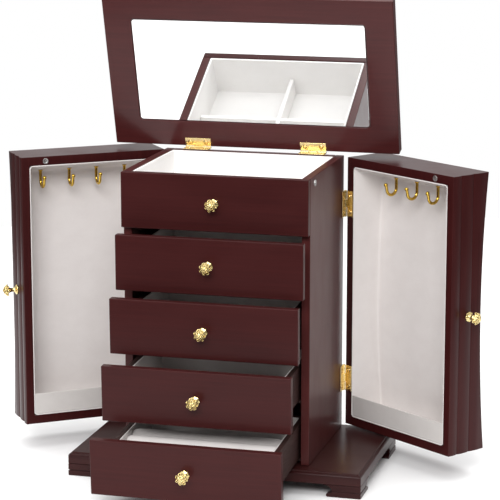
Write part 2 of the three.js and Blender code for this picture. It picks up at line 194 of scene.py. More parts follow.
def edge_wear_and_highlight(tree, amount):
    """Mask of convex edges drawn lighter, partly wear and partly a painted highlight: grows from 0 on the
    flats to amount on the sharpest convex edges.
    """
    point = add(tree, "ShaderNodeNewGeometry").outputs["Pointiness"]
    return add(tree, "ShaderNodeMapRange", {
        "Value": point, "From Min": 0.515, "From Max": 0.62, "To Min": 0.0, "To Max": amount,
    }).outputs["Result"]


# ---------- finishes ----------


def cherry_lacquer(name, grain_axis, depth=1.0, gloss=0.12):
    """Cherry-stained board under satin lacquer: its grain's axis, depth (the factor all its stain colours
    are drawn at, painted light on the side boards), its gloss.
    """
    material, tree, shader = new_finish(name)
    place = object_place(tree)

    # Every stain colour times depth; above 1 on the side boards this is painted light.
    def stain_times_depth(*colour):
        return tuple(depth * c for c in colour)

    def grained(across, along):
        return [along if axis == grain_axis else across for axis in "XYZ"]

    streaks = cloudy(tree, place, grained(380, 11), 6.0, 0.6)
    flecks = cloudy(tree, place, grained(1900, 95), 3.0, 0.5)
    mottle = cloudy(tree, place, grained(34, 16), 3.0, 0.5)
    stain = ramp(
        tree, streaks,
        (0.30, stain_times_depth(0.0245, 0.0039, 0.0043)), (0.50, stain_times_depth(0.0330, 0.0053, 0.0055)),
        (0.72, stain_times_depth(0.0425, 0.0072, 0.0072)),
    )
    flecked = blended(tree, spread(tree, flecks, 0.0, 0.35), stain, stain_times_depth(0.020, 0.0032, 0.0036))
    clouded = blended(tree, spread(tree, mottle, 0.0, 0.45), flecked, stain_times_depth(0.046, 0.0078, 0.0078))
    # Convex edges drawn lighter: partly sanded-through wear, partly a painted highlight in place of the
    # light the rounded edges catch.
    colour = blended(tree, edge_wear_and_highlight(tree, 0.35), clouded, stain_times_depth(0.085, 0.024, 0.022))
    tree.links.new(colour, shader.inputs["Base Color"])
    tree.links.new(spread(tree, mottle, 0.30, 0.38), shader.inputs["Roughness"])
    shader.inputs["Specular IOR Level"].default_value = gloss
    shader.inputs["Coat Weight"].default_value = 0.7 * gloss
    shader.inputs["Coat Roughness"].default_value = 0.14
    shader.inputs["Coat IOR"].default_value = 1.45
    peel = cloudy(tree, place, 420, 2.0, 0.5)
    bumps(tree, shader, (peel, 0.12, 0.00012), (flecks, 0.10, 0.00008))
    return material


def drawer_box_wood():
    """Dark brown stained board, matt, its pores still open."""
    material, tree, shader = new_finish("dark_stained_board")
    place = object_place(tree)
    streaks = cloudy(tree, place, (300, 14, 300), 5.0, 0.6)
    pores = cloudy(tree, place, (1500, 70, 1500), 3.0, 0.6)
    stain = ramp(tree, streaks, (0.32, (0.022, 0.0080, 0.0068)), (0.70, (0.048, 0.0185, 0.0150)))
    colour = blended(tree, spread(tree, pores, 0.0, 0.5), stain, (0.014, 0.0060, 0.0052))
    tree.links.new(colour, shader.inputs["Base Color"])
    tree.links.new(spread(tree, pores, 0.50, 0.66), shader.inputs["Roughness"])
    shader.inputs["Specular IOR Level"].default_value = 0.3
    bumps(tree, shader, (pores, 0.3, 0.00012))
    return material


def velvet(name, pile, shaded):
    """Short-pile velvet: nap brushed in patches, a fine pile and a soft sheen."""
    material, tree, shader = new_finish(name)
    place = object_place(tree)
    nap = cloudy(tree, place, (46, 46, 60), 4.0, 0.6)
    pile_noise = cloudy(tree, place, 2600, 2.0, 0.7)
    patched = ramp(tree, nap, (0.34, shaded), (0.62, pile))
    shade = tuple(c * 0.86 for c in pile)
    colour = blended(tree, spread(tree, pile_noise, 0.0, 0.30), patched, shade)
    tree.links.new(colour, shader.inputs["Base Color"])
    shader.inputs["Roughness"].default_value = 0.92
    shader.inputs["Specular IOR Level"].default_value = 0.15
    shader.inputs["Sheen Weight"].default_value = 0.22
    shader.inputs["Sheen Roughness"].default_value = 0.45
    shader.inputs["Sheen Tint"].default_value = (1.0, 0.97, 0.95, 1.0)
    bumps(tree, shader, (nap, 0.12, 0.0006), (pile_noise, 0.35, 0.00018))
    return material


def brass(name, colour, deep, roughness, brush=None, hollow_tone=None):
    """Unevenly polished brass: brush is the way of its fine scratches; the last argument, if given, is the
    colour its hollows are drawn darker towards.
    """
    material, tree, shader = new_finish(name)
    place = object_place(tree)
    cloud = cloudy(tree, place, 240, 3.0, 0.6)
    scratch = cloudy(tree, place, brush or (900, 900, 900), 3.0, 0.7)
    tone = ramp(tree, cloud, (0.30, deep), (0.68, colour))
    # Hollows drawn darker, towards the given colour.
    if hollow_tone:
        point = add(tree, "ShaderNodeNewGeometry").outputs["Pointiness"]
        hollow = add(tree, "ShaderNodeMapRange", {
            "Value": point, "From Min": 0.45, "From Max": 0.505, "To Min": 1.0, "To Max": 0.0,
        }).outputs["Result"]
        tone = blended(tree, hollow, tone, hollow_tone)
    tree.links.new(tone, shader.inputs["Base Color"])
    shader.inputs["Metallic"].default_value = 1.0
    tree.links.new(spread(tree, scratch, roughness * 0.8, roughness * 1.35), shader.inputs["Roughness"])
    layers = [(scratch, 0.10, 0.00006), (cloud, 0.08, 0.0001)]
    if hollow_tone:
        layers.append((cloudy(tree, place, 900, 2.0, 0.5), 0.6, 0.0005))
    bumps(tree, shader, *layers)
    return material


def nickel():
    """Dull nickel plate of the door catches."""
    material, tree, shader = new_finish("dull_nickel")
    place = object_place(tree)
    cloud = cloudy(tree, place, 900, 3.0, 0.6)
    tone = ramp(tree, cloud, (0.3, (0.36, 0.35, 0.35)), (0.7, (0.56, 0.55, 0.54)))
    tree.links.new(tone, shader.inputs["Base Color"])
    shader.inputs["Metallic"].default_value = 1.0
    tree.links.new(spread(tree, cloud, 0.28, 0.42), shader.inputs["Roughness"])
    return material


def silvered_glass():
    """Mirror: bright, almost perfectly smooth, with the faintest haze."""
    material, tree, shader = new_finish("silvered_glass")
    place = object_place(tree)
    haze = cloudy(tree, place, 30, 3.0, 0.6)
    tone = ramp(tree, haze, (0.3, (0.925, 0.935, 0.94)), (0.7, (0.945, 0.955, 0.955)))
    tree.links.new(tone, shader.inputs["Base Color"])
    shader.inputs["Metallic"].default_value = 1.0
    tree.links.new(spread(tree, haze, 0.008, 0.02), shader.inputs["Roughness"])
    return material


CHERRY_X = cherry_lacquer("cherry_lacquer_grain_across", "X")
CHERRY_Z = cherry_lacquer("cherry_lacquer_grain_upright", "Z")
# Side and back boards: the same cherry drawn 1.25 times lighter, painted light for the bright surroundings
# their outer faces reflect.
CHERRY_SIDE_PAINTED_LIGHT = cherry_lacquer("cherry_lacquer_side_boards", "Z", 1.25, 0.15)
CHERRY_LID = cherry_lacquer("cherry_lacquer_lid", "X", 1.7, 0.27)
CHERRY_BASE = cherry_lacquer("cherry_lacquer_base", "X", 0.6, 0.14)
BOX_WOOD = drawer_box_wood()
LINING = velvet("ivory_velvet", (0.748, 0.708, 0.69), (0.718, 0.676, 0.658))
# Pocket strips: the door lining's velvet drawn about a quarter darker, painted shade for the foot of the
# recess.
POCKET_PAINTED_SHADE = velvet("grey_velvet", (0.57, 0.54, 0.52), (0.535, 0.505, 0.485))
# Compartment velvet drawn whiter than the door lining: painted light for the top light falling into the
# open compartment.
WHITE_LINING_PAINTED_LIGHT = velvet("white_velvet", (0.90, 0.885, 0.87), (0.88, 0.865, 0.85))
HINGE_BRASS = brass("hinge_brass", (0.93, 0.76, 0.42), (0.84, 0.63, 0.27), 0.22, (260, 260, 1500))
KNOB_BRASS = brass("cast_brass", (0.84, 0.68, 0.33), (0.66, 0.49, 0.19), 0.11, hollow_tone=(0.07, 0.045, 0.012))
HOOK_BRASS = brass("brass_wire", (0.80, 0.54, 0.10), (0.66, 0.42, 0.06), 0.16)
NICKEL = nickel()
MIRROR = silvered_glass()

# ---------- mesh helpers ----------


def copy_of(node):
    """A joined-up copy of a CAD node, drawn shut."""
    shape = bmesh.new()
    shape.from_mesh(frame["nodes"][node].data)
    bmesh.ops.remove_doubles(shape, verts=shape.verts, dist=0.01 * MM)
    bmesh.ops.transform(shape, matrix=AT_REST[body_of(node)].inverted(), verts=shape.verts)
    bmesh.ops.dissolve_limit(
        shape, angle_limit=math.radians(0.5), use_dissolve_boundaries=False,
        verts=shape.verts, edges=shape.edges,
    )
    return shape


def joined_to(items, kind):
    """The edges, faces or corners that the items are joined to, each once, in the items' order."""
    return list(dict.fromkeys(found for item in items for found in getattr(item, kind)))


def sharp_edges(shape, above=30, below=180):
    low, high = math.radians(above), math.radians(below)
    return [e for e in shape.edges if e.is_manifold and low < e.calc_face_angle(0) <= high]


def ease(shape, edges, radius, segments=3):
    """Rounds edges over, as a sanding block and lacquer do."""
    return bmesh.ops.bevel(
        shape, geom=edges, offset=radius, offset_type="OFFSET", segments=segments,
        profile=0.5, affect="EDGES", clamp_overlap=True, material=-1,
    )


def finished(name, shape, body, material, replaced=(), even=True, sharp=None):
    """Makes a shape drawn shut into a piece that stands at rest and rides on its body."""
    bmesh.ops.transform(shape, matrix=AT_REST[body], verts=shape.verts)
    mesh = bpy.data.meshes.new(name)
    shape.to_mesh(mesh)
    shape.free()
    mesh.materials.append(material)
    mesh.shade_smooth()
    if sharp:
        mesh.set_sharp_from_angle(angle=math.radians(sharp))
    obj = bpy.data.objects.new(name, mesh)
    bpy.context.scene.collection.objects.link(obj)
    if even:
        even_shading = obj.modifiers.new("even_shading", "WEIGHTED_NORMAL")
        even_shading.keep_sharp = True
    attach(obj, body)
    if replaced:
        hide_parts(*replaced)
    return obj


def box_shape(low, high):
    shape = bmesh.new()
    size, centre = Vector(high) - Vector(low), (Vector(high) + Vector(low)) / 2
    place = Matrix.Translation(centre) @ Matrix.Diagonal((*size, 1))
    bmesh.ops.create_cube(shape, size=1, matrix=place)
    return shape


def turned(shape, profile, steps=48, matrix=Matrix.Identity(4)):
    """Spins a profile of (radius, height) points round the Z axis into a closed form."""
    verts = [shape.verts.new((r, 0, z)) for r, z in profile]
    edges = [shape.edges.new(pair) for pair in zip(verts, verts[1:])]
    before = set(shape.verts) - set(verts)
    bmesh.ops.spin(
        shape, geom=verts + edges, cent=(0, 0, 0), axis=(0, 0, 1), dvec=(0, 0, 0),
        angle=2 * math.pi, steps=steps, use_merge=True, use_normal_flip=False, use_duplicate=False,
    )
    made = [v for v in shape.verts if v not in before]
    bmesh.ops.remove_doubles(shape, verts=made, dist=0.001 * MM)
    made = [v for v in shape.verts if v not in before]
    bmesh.ops.recalc_face_normals(shape, faces=joined_to(made, "link_faces"))
    bmesh.ops.transform(shape, matrix=matrix, verts=made)
    return made


# ---------- wood ----------
BOARD_EDGE = 0.55 * MM
FRONT_EDGE = 0.8 * MM


def board(node, material, radius=BOARD_EDGE):
    shape = copy_of(node)
    ease(shape, sharp_edges(shape), radius)
    return finished(f"{node}_wood", shape, body_of(node), material, [node])


def carcass():
    for node in ("side_panel_left", "side_panel_right", "back_panel"):
        board(node, CHERRY_SIDE_PAINTED_LIGHT)
    board("top_front_panel", CHERRY_X, FRONT_EDGE)
    board("compartment_floor", BOX_WOOD)
    for drawer in DRAWERS:
        board(f"{drawer}_front", CHERRY_X, FRONT_EDGE)
        board(f"{drawer}_box", BOX_WOOD)
        board(f"{drawer}_runner", BOX_WOOD, 0.4 * MM)
    board("lid_frame", CHERRY_LID, 0.9 * MM)


def base_board():
    """The board's upper rim is a round nosing; the raised field stands just inside it."""
    nosing = 2.3 * MM
    low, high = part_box("base_board")
    shape = copy_of("base_board")

    def on_rim(v):
        return min(v.co.x - low.x, high.x - v.co.x, v.co.y - low.y, high.y - v.co.y) < 0.1 * MM

    upper = [
        e for e in sharp_edges(shape)
        if all(on_rim(v) and v.co.z > low.z + 1 * MM for v in e.verts)
        and abs(e.verts[0].co.z - e.verts[1].co.z) < 0.1 * MM
    ]
    ease(shape, upper, nosing, 5)
    ease(shape, sharp_edges(shape, 60), 0.35 * MM)
    finished("base_board_wood", shape, "cabinet", CHERRY_BASE, ["base_board"])


def feet():
    for end in ("front", "rear"):
        for side in SIDES:
            node = f"foot_{end}_{side}"
            shape = copy_of(node)
            hollow = sharp_edges(shape, 12, 32)
            ease(shape, hollow, 1.1 * MM, 3)
            ease(shape, sharp_edges(shape, 36), 0.4 * MM)
            finished(f"{node}_wood", shape, "cabinet", CHERRY_BASE, [node])


# ---------- doors ----------
REED_LINES = (11.3 * MM, 26.5 * MM)  # grooves, from the door's inner face
REED_CUTS = (0.08, 0.2, 0.35, 0.5, 0.65, 0.8, 0.92)  # shares of a reed's width where its crown bends
GROOVE_HALF = 1.13 * MM
REED_CROWN = 0.75 * MM
DOOR_WAIST = 7 * MM
DOOR_FRAME = 8.5 * MM


def door_case(door, side):
    """The hollow door, its free end worked into three upright reeds with rounded crowns."""
    node = f"{door}_door_case"
    low, high = shut_box(node)
    inner = low.x if side > 0 else high.x
    full = high.x - low.x
    middle, half_height = (high.z + low.z) / 2, (high.z - low.z) / 2
    shape = copy_of(node)

    def reeds(z):
        thickness = full - DOOR_WAIST * (1 - ((z - middle) / half_height) ** 2)
        first, second = REED_LINES
        return (
            (0, first - GROOVE_HALF),
            (first + GROOVE_HALF, second - GROOVE_HALF),
            (second + GROOVE_HALF, thickness),
        )

    def on_free_end(face):
        return face.normal.y < -0.99 and face.calc_center_median().y < low.y + MM

    for start, end in reeds(low.z):
        for share in REED_CUTS:
            face_end = [f for f in shape.faces if on_free_end(f)]
            parts = face_end + joined_to(face_end, "edges") + joined_to(face_end, "verts")
            bmesh.ops.bisect_plane(
                shape, geom=parts, dist=0.001 * MM,
                plane_co=(inner + side * (start + (end - start) * share), 0, 0), plane_no=(1, 0, 0),
            )
    for v in shape.verts:
        if v.co.y > low.y + 0.01 * MM:
            continue
        across = side * (v.co.x - inner)
        for start, end in reeds(v.co.z):
            if start - 0.1 * MM <= across <= end + 0.1 * MM:
                u = 2 * (across - start) / (end - start) - 1
                v.co.y += REED_CROWN * u * u
                break
    ease(shape, sharp_edges(shape, 28), 0.5 * MM)
    finished(f"{node}_wood", shape, f"{door}_door", CHERRY_Z, [node])


LINING_THICKNESS = 0.9 * MM
LINING_CORNER = 3.5 * MM
LINING_FOLD = 0.3 * MM  # rounding of its folded edge
GLUE_GAP = 0.12 * MM


def door_lining(door, side):
    """Velvet glued over the walls, floor, ceiling and back of the recess, soft in its corners."""
    node = f"{door}_door_case"
    low, high = shut_box(node)
    inner = low.x if side > 0 else high.x
    shape = copy_of(node)

    def in_recess(face):
        c = face.calc_center_median()
        depth = side * (c.x - inner)
        margin = DOOR_FRAME - 0.05 * MM
        return (
            depth > 0.2 * MM and face.normal.x * side < 0.5
            and low.y + margin < c.y < high.y - margin and low.z + margin < c.z < high.z - margin
        )

    outside = [f for f in shape.faces if not in_recess(f)]
    bmesh.ops.delete(shape, geom=outside, context="FACES")
    corners = sharp_edges(shape, 40)
    ease(shape, corners, LINING_CORNER, 5)
    shape.normal_update()
    for v in shape.verts:
        v.co += v.normal * GLUE_GAP
    area = sum(f.calc_area() for f in shape.faces)
    lining = finished(f"{door}_door_lining", shape, f"{door}_door", LINING, even=False)
    thick = lining.modifiers.new("cloth_thickness", "SOLIDIFY")
    thick.thickness = LINING_THICKNESS
    thick.offset = 1
    rounded = lining.modifiers.new("folded_edge", "BEVEL")
    rounded.width = LINING_FOLD
    rounded.segments = 2
    rounded.limit_method = "ANGLE"
    rounded.angle_limit = math.radians(50)


def door_pocket(door):
    """Strip of velvet-covered card across the foot of the recess."""
    node = f"{door}_door_pocket"
    low, high = shut_box(node)
    shrink = Vector((0, LINING_THICKNESS, 0))
    shape = box_shape(low + shrink + Vector((0, 0, LINING_THICKNESS)), high - shrink)
    long_edges = [e for e in shape.edges if abs(e.verts[0].co.y - e.verts[1].co.y) > 50 * MM]
    bmesh.ops.subdivide_edges(shape, edges=long_edges, cuts=24, use_grid_fill=True)
    ease(shape, sharp_edges(shape, 60), 0.5 * MM)
    for v in shape.verts:
        lift = (v.co.z - low.z) / (high.z - low.z)
        v.co.x += 0.12 * MM * lift * noise.noise(v.co * 60)
        v.co.z += 0.2 * MM * lift * noise.noise(v.co * 45)
    # Its velvet is drawn darker than the lining: painted shade.
    finished(f"{node}_velvet", shape, f"{door}_door", POCKET_PAINTED_SHADE, [node])


# ---------- knobs ----------
KNOB_STEM = [  # radius, distance from the face: flange, neck and the cone under the head
    (0, 0.3), (4.55, 0.3), (4.85, 0.7), (4.7, 1.5), (3.6, 2.1), (2.5, 2.9), (1.95, 4.2), (1.9, 5.6),
    (2.3, 7.4), (3.1, 9.0), (3.8, 10.2), (3.9, 11.0), (3.1, 12.0), (1.5, 12.6), (0, 12.7),
]
KNOB_HEIGHT = 15.8 * MM
KNOB_PETALS = [  # count, ring radius, height, petal's half length, half width, rim, lean
    (7, 4.4, 11.4, 1.75, 1.4, 0.52, 46),
    (5, 2.5, 13.4, 1.15, 1.05, 0.46, 30),
    (1, 0.0, 14.6, 0.8, 0.8, 0.46, 0),
]
PETAL_DIP = 1.0 * MM  # the petal's heart below its curled rim
CAST_GRAIN = 0.2 * MM


def cast_knob_mesh():
    """Rosette knob along +Z: three rings of curled petals round a boss, fused as a casting is."""
    shape = bmesh.new()
    profile = [(r * MM, h * MM) for r, h in KNOB_STEM]
    for v in turned(shape, profile, 48):
        turn = math.atan2(v.co.y, v.co.x)
        flange = max(0.0, 1 - abs(v.co.z / MM - 1.0) / 1.8)
        wave = 1 + 0.07 * flange * math.cos(8 * turn)
        v.co.x *= wave
        v.co.y *= wave
    for count, ring, height, length, width, rim, lean in KNOB_PETALS:
        curl = [
            (1 + rim / width * math.cos(a), rim * MM * math.sin(a))
            for a in (2 * math.pi * k / 10 for k in range(11))
        ]
        for i in range(count):
            turn = 2 * math.pi * (i + 0.5 * (count == 5)) / count
            place = (
                Matrix.Rotation(turn, 4, "Z") @ Matrix.Translation((ring * MM, 0, height * MM))
                @ Matrix.Rotation(math.radians(lean), 4, "Y")
                @ Matrix.Diagonal((length * MM, width * MM, 1, 1))
            )
            turned(shape, curl, 20, place)
            heart = (
                place @ Matrix.Translation((0, 0, -PETAL_DIP)) @ Matrix.Diagonal((0.9, 0.9, 0.5 * MM, 1))
            )
            bmesh.ops.create_uvsphere(shape, u_segments=16, v_segments=10, radius=1, matrix=heart)
    mesh = bpy.data.meshes.new("knob_blank")
    shape.to_mesh(mesh)
    shape.free()
    blank = bpy.data.objects.new("knob_blank", mesh)
    bpy.context.scene.collection.objects.link(blank)
    fuse = blank.modifiers.new("fuse", "REMESH")
    fuse.mode = "VOXEL"
    fuse.voxel_size = CAST_GRAIN
    bpy.context.view_layer.update()
    cast = bpy.data.meshes.new_from_object(blank.evaluated_get(bpy.context.evaluated_depsgraph_get()))
    bpy.data.objects.remove(blank)
    return cast


CAST_KNOB = cast_knob_mesh()


def knob(node):
    """A cast knob standing out towards the front of the piece that carries it."""
    low, high = shut_box(node)
    face = Vector(((low.x + high.x) / 2, high.y + 0.3 * MM, (low.z + high.z) / 2))
    shape = bmesh.new()
    shape.from_mesh(CAST_KNOB)
    bmesh.ops.smooth_vert(
        shape, verts=shape.verts, factor=0.5, use_axis_x=True, use_axis_y=True, use_axis_z=True,
    )
    tallest = max(v.co.z for v in shape.verts)
    stretch = Matrix.Diagonal((1, 1, min(1.0, KNOB_HEIGHT / tallest), 1))
    place = Matrix.Translation(face) @ Matrix.Rotation(math.radians(90), 4, "X") @ stretch
    bmesh.ops.transform(shape, matrix=place, verts=shape.verts)
    finished(f"{node}_brass", shape, body_of(node), KNOB_BRASS, [node], even=False)


# ---------- hinges ----------
LEAF_THICKNESS = 0.95 * MM
LEAF_WIDTH = 8.2 * MM
HINGE_LENGTH = 26 * MM
SCREW_HOLE = 2.2 * MM
SCREW_SPREAD = 8 * MM  # each way from the middle of the leaf
SCREW_RISE = 0.30 * MM  # of its crown above the leaf, where the closed hinge leaves room
LEAF_SETBACK = 0.2 * MM  # from the wood to the leaf
DOOR_KNUCKLE = 1.4 * MM
LID_KNUCKLE = 1.2 * MM


def filled_plate(outline, holes, bottom, top):
    """A plate of an [x, y] outline with round holes, between two heights."""
    shape = bmesh.new()
    corners = [shape.verts.new((x, y, bottom)) for x, y in outline]
    edges = [shape.edges.new((a, b)) for a, b in zip(corners, corners[1:] + corners[:1])]
    for x, y, radius in holes:
        ring = bmesh.ops.create_circle(
            shape, cap_ends=False, segments=24, radius=radius, matrix=Matrix.Translation((x, y, bottom)),
        )
        edges += joined_to(ring["verts"], "link_edges")
    bmesh.ops.triangle_fill(shape, use_beauty=True, use_dissolve=False, edges=edges)
    flat = list(shape.faces)
    raised = bmesh.ops.extrude_face_region(shape, geom=flat, use_keep_orig=True)
    lifted = [g for g in raised["geom"] if isinstance(g, bmesh.types.BMVert)]
    bmesh.ops.translate(shape, verts=lifted, vec=(0, 0, top - bottom))
    bmesh.ops.recalc_face_normals(shape, faces=shape.faces)
    bmesh.ops.dissolve_limit(
        shape, angle_limit=math.radians(0.5), use_dissolve_boundaries=False,
        verts=shape.verts, edges=shape.edges,
    )
    return shape


def leaf_shape(outer, knuckle, level):
    """One leaf, its pin along X: a plate with two screw holes, rolled round the pin in knuckles."""
    half, third, play = HINGE_LENGTH / 2, HINGE_LENGTH / 6, 0.15 * MM
    edge = -knuckle - 0.3 * MM
    bottom, top = level - LEAF_THICKNESS / 2, level + LEAF_THICKNESS / 2
    far = edge - LEAF_WIDTH
    if outer:
        spans = [(-half, -third - play), (third + play, half)]
        rim = [(-half, far), (half, far), (half, 0), (third + play, 0), (third + play, edge),
               (-third - play, edge), (-third - play, 0), (-half, 0)]
    else:
        spans = [(-third + play, third - play)]
        rim = [(-half, far), (half, far), (half, edge), (third - play, edge), (third - play, 0),
               (-third + play, 0), (-third + play, edge), (-half, edge)]
    screw_y = (far + edge) / 2
    holes = [(x, screw_y, SCREW_HOLE) for x in (-SCREW_SPREAD, SCREW_SPREAD)]
    shape = filled_plate(rim, holes, bottom, top)
    corners = [
        e for e in shape.edges
        if all(abs(abs(v.co.x) - half) < 0.01 * MM and abs(v.co.y - far) < 0.01 * MM for v in e.verts)
    ]
    ease(shape, corners, 1.3 * MM, 5)
    ease(shape, sharp_edges(shape, 50), 0.12 * MM, 2)
    lie_down = Matrix.Rotation(math.radians(90), 4, "Y")
    for start, end in spans:
        barrel = [(0, start), (knuckle - 0.15 * MM, start), (knuckle, start + 0.15 * MM),
                  (knuckle, end - 0.15 * MM), (knuckle - 0.15 * MM, end), (0, end)]
        turned(shape, barrel, 28, lie_down)
    if outer:
        pin, head = knuckle * 0.55, half + 0.35 * MM
        turned(shape, [(0, -head), (pin * 0.7, -head + 0.1 * MM), (pin, -half), (pin, half),
                       (pin * 0.7, head - 0.1 * MM), (0, head)], 20, lie_down)
    return shape, screw_y, bottom, top


def screws_shape(screw_y, surface, up, rise):
    """Two domed countersunk cross-head screws, each crown standing rise above its leaf."""
    shape = bmesh.new()
    radius = SCREW_HOLE - 0.28 * MM
    arm, reach = 0.26 * MM, 1.15 * MM
    for x in (-SCREW_SPREAD, SCREW_SPREAD):
        head = bmesh.new()
        turned(head, [(0, -1.1 * MM), (radius * 0.7, -1.1 * MM), (radius, -0.62 * MM),
                      (radius * 0.93, -0.42 * MM), (radius * 0.72, -0.17 * MM), (radius * 0.4, -0.04 * MM),
                      (0, 0)], 24)
        for axis in (Vector((1, 0, 0)), Vector((0, 1, 0))):
            for cut in (-reach, -arm, arm, reach):
                bmesh.ops.bisect_plane(
                    head, geom=head.verts[:] + head.edges[:] + head.faces[:], dist=0.001 * MM,
                    plane_co=axis * cut, plane_no=axis,
                )
        cross = []
        for f in head.faces:
            c = f.calc_center_median()
            a, b = sorted((abs(c.x), abs(c.y)))
            if f.normal.z > 0.7 and a < arm and b < reach:
                cross.append(f)
        pressed = bmesh.ops.extrude_face_region(head, geom=cross)
        low = [g for g in pressed["geom"] if isinstance(g, bmesh.types.BMVert)]
        bmesh.ops.translate(head, verts=low, vec=(0, 0, -0.3 * MM))
        bmesh.ops.delete(head, geom=cross, context="FACES_ONLY")
        turn = Matrix.Rotation(math.radians(25 if x > 0 else 63), 4, "Z")
        flip = Matrix.Identity(4) if up > 0 else Matrix.Rotation(math.pi, 4, "X")
        place = Matrix.Translation((x, screw_y, surface + up * rise)) @ flip @ turn
        bmesh.ops.transform(head, matrix=place, verts=head.verts)
        part = bpy.data.meshes.new("screw_head")
        head.to_mesh(part)
        head.free()
        shape.from_mesh(part)
        bpy.data.meshes.remove(part)
    return shape


def hinge(leaf_node, pin_place, stand, outer, knuckle, level, body):
    """One leaf and its screws, set on its pin: stand turns the drawn leaf to the pin's direction."""
    place = Matrix.Translation(pin_place) @ stand
    shape, screw_y, bottom, top = leaf_shape(outer, knuckle, level)
    bmesh.ops.transform(shape, matrix=place, verts=shape.verts)
    finished(f"{leaf_node}_brass", shape, body, HINGE_BRASS, [leaf_node], sharp=35)
    up = -1 if level > 0 else 1
    clear = abs(level) - LEAF_THICKNESS / 2  # from the leaf to the middle of the closed hinge
    rise = min(SCREW_RISE, clear - 0.06 * MM)
    screws = screws_shape(screw_y, top if up > 0 else bottom, up, rise)
    bmesh.ops.transform(screws, matrix=place, verts=screws.verts)
    finished(f"{leaf_node}_screws", screws, body, HINGE_BRASS, even=False, sharp=30)


def hinges():
    upright = Matrix(((0, 0, -1, 0), (0, 1, 0, 0), (1, 0, 0, 0), (0, 0, 0, 1)))
    for door, side in SIDES.items():
        pivot = joint(f"{door}_door_hinge")["pos_m"]
        panel_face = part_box(f"side_panel_{door}")[1 if side > 0 else 0].x
        offset = side * (abs(pivot[0] - panel_face) - LEAF_SETBACK - LEAF_THICKNESS / 2)
        leaves = (("cabinet", "cabinet", offset), ("door", f"{door}_door", -offset))
        for place in ("upper", "lower"):
            for part, body, level in leaves:
                node = f"{door}_{place}_hinge_{part}_leaf"
                low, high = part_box(node)
                pin = (pivot[0], pivot[1], (low.z + high.z) / 2)
                hinge(node, pin, upright, part == "cabinet", DOOR_KNUCKLE, level, body)
    pivot = joint("lid_hinge")["pos_m"]
    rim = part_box("back_panel")[1].z
    offset = pivot[2] - rim - LEAF_SETBACK - LEAF_THICKNESS / 2
    for side in SIDES:
        for part, body, level in (("cabinet", "cabinet", -offset), ("lid", "lid", offset)):
            node = f"lid_{side}_hinge_{part}_leaf"
            low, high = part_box(node)
            pin = ((low.x + high.x) / 2, pivot[1], pivot[2])
            hinge(node, pin, Matrix.Identity(4), part == "cabinet", LID_KNUCKLE, level, body)


# ---------- hooks ----------
HOOK_WIRE = 1.45 * MM
HOOK_BEND = 6.2 * MM
HOOK_BALL = 1.38 * HOOK_WIRE
HOOK_TIP = ((0.25, 1.6), (0.5, 1.8), (0.7, 1.8))  # steps out and up past the bend, in millimetres


def hook(node, side):
    """Brass wire hook hanging from the recess ceiling, its cup open towards the door's mouth."""
    low, high = shut_box(node)
    stem_x = high.x - HOOK_WIRE if side > 0 else low.x + HOOK_WIRE
    middle_y = (low.y + high.y) / 2
    drop = high.z - low.z - HOOK_BEND - HOOK_WIRE
    shape = bmesh.new()
    ring = bmesh.ops.create_circle(shape, cap_ends=True, segments=18, radius=HOOK_WIRE)["verts"]
    edges = joined_to(ring, "link_edges")
    for step in (0.4, 0.6):
        grown = bmesh.ops.extrude_edge_only(shape, edges=edges)["geom"]
        edges = [g for g in grown if isinstance(g, bmesh.types.BMEdge)]
        ring = [g for g in grown if isinstance(g, bmesh.types.BMVert)]
        bmesh.ops.translate(shape, verts=ring, vec=(0, 0, -drop * step))
    bent = bmesh.ops.spin(
        shape, geom=ring + edges, cent=(HOOK_BEND, 0, -drop), axis=(0, -1, 0), dvec=(0, 0, 0),
        angle=math.pi * 0.94, steps=22, use_merge=False, use_normal_flip=False, use_duplicate=False,
    )["geom_last"]
    edges = [g for g in bent if isinstance(g, bmesh.types.BMEdge)]
    ring = [g for g in bent if isinstance(g, bmesh.types.BMVert)]
    for flare, rise in HOOK_TIP:
        grown = bmesh.ops.extrude_edge_only(shape, edges=edges)["geom"]
        edges = [g for g in grown if isinstance(g, bmesh.types.BMEdge)]
        ring = [g for g in grown if isinstance(g, bmesh.types.BMVert)]
        bmesh.ops.translate(shape, verts=ring, vec=(flare * MM, 0, rise * MM))
    tip = sum((v.co for v in ring), Vector()) / len(ring)
    bmesh.ops.contextual_create(shape, geom=edges)
    bmesh.ops.recalc_face_normals(shape, faces=shape.faces)
    bmesh.ops.create_uvsphere(
        shape, u_segments=18, v_segments=12, radius=HOOK_BALL, matrix=Matrix.Translation(tip),
    )
    turned(shape, [(0, 0), (2.3 * MM, 0), (2.4 * MM, -0.25 * MM), (2.1 * MM, -0.8 * MM),
                   (1.5 * MM, -1.3 * MM), (0, -1.4 * MM)], 28)
    spread_way = Matrix.Diagonal((-side, 1, 1, 1))
    place = Matrix.Translation((stem_x, middle_y, high.z)) @ spread_way
    bmesh.ops.transform(shape, matrix=place, verts=shape.verts)
    if side > 0:
        bmesh.ops.reverse_faces(shape, faces=shape.faces)
    body = body_of(node)
    finished(f"{node}_wire", shape, body, HOOK_BRASS, [node], even=False, sharp=50)


# ---------- drawers and compartment ----------
CARD = 1.3 * MM
BOX_WALL = 5 * MM
BOX_BOTTOM = 3 * MM


